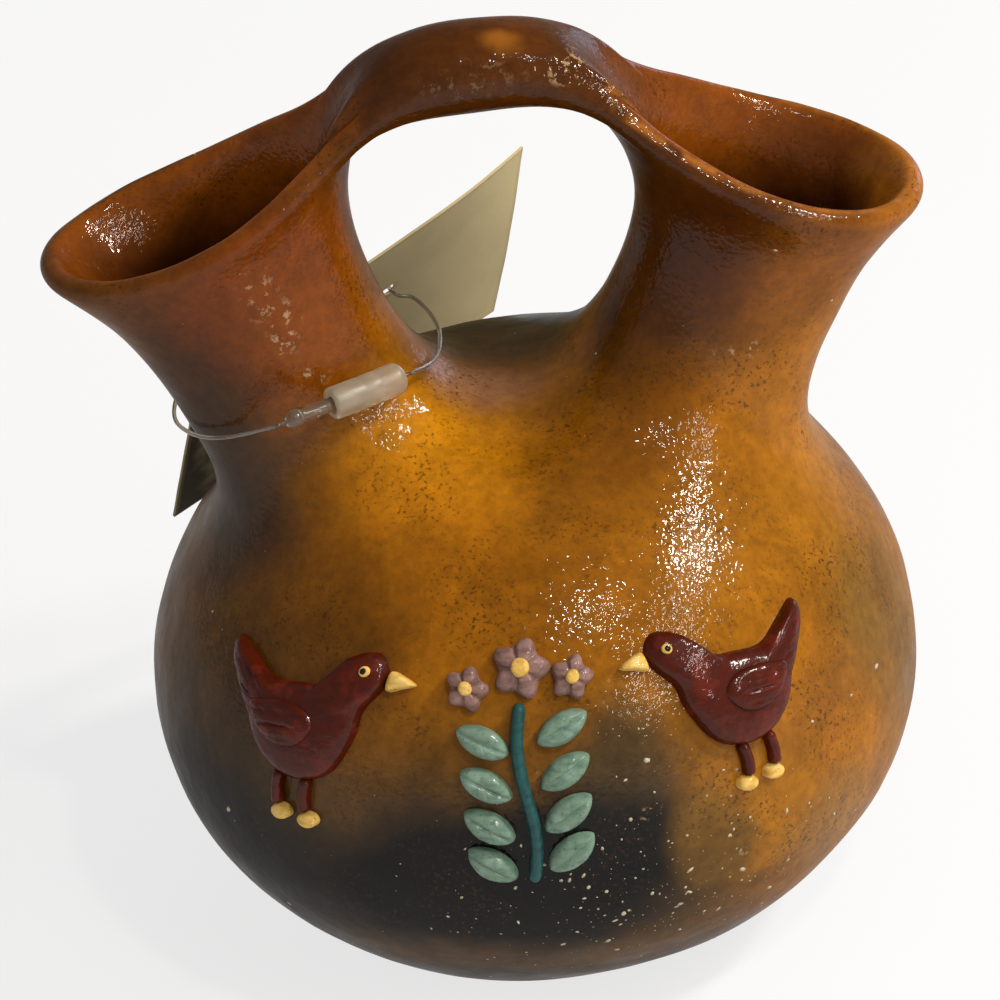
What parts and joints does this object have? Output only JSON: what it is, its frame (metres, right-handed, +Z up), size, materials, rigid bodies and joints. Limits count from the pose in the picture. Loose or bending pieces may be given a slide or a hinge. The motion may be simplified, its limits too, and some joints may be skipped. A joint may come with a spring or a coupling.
{
  "type": "wedding vase",
  "caption": "Small hand-built clay wedding vase: round body, two open flared spouts joined by an arched handle, raised clay relief on the front, and a hang tag on a nylon loop.",
  "frame": {"origin": "centre of the flat foot, on the table", "axes": "+Z up along the height; +X across the two spouts, to the right as seen from the front; +Y from the relief side to the back"},
  "size_m": [0.1226, 0.1219, 0.1382],
  "materials": {
    "pitch_glazed_clay": "glossy",
    "maroon_slip": "satin",
    "teal_slip": "satin",
    "mauve_slip": "satin",
    "cream_slip": "satin",
    "clear_nylon": "glossy",
    "white_nylon": "glossy",
    "cream_paper": "matte"
  },
  "bodies": {
    "root": {"vase": "pitch_glazed_clay", "bird_left_body": "maroon_slip", "bird_left_wing": "maroon_slip", "bird_left_beak": "cream_slip", "bird_left_legs": "maroon_slip", "bird_left_toes": "cream_slip", "bird_right_body": "maroon_slip", "bird_right_wing": "maroon_slip", "bird_right_beak": "cream_slip", "bird_right_legs": "maroon_slip", "bird_right_toes": "cream_slip", "plant_stem": "teal_slip", "plant_leaves": "teal_slip", "plant_blossoms": "mauve_slip", "blossom_centres": "cream_slip", "loop_filament": "clear_nylon", "loop_barrel": "white_nylon", "loop_plug": "white_nylon", "paper_tag": "cream_paper"}
  },
  "joints": []
}
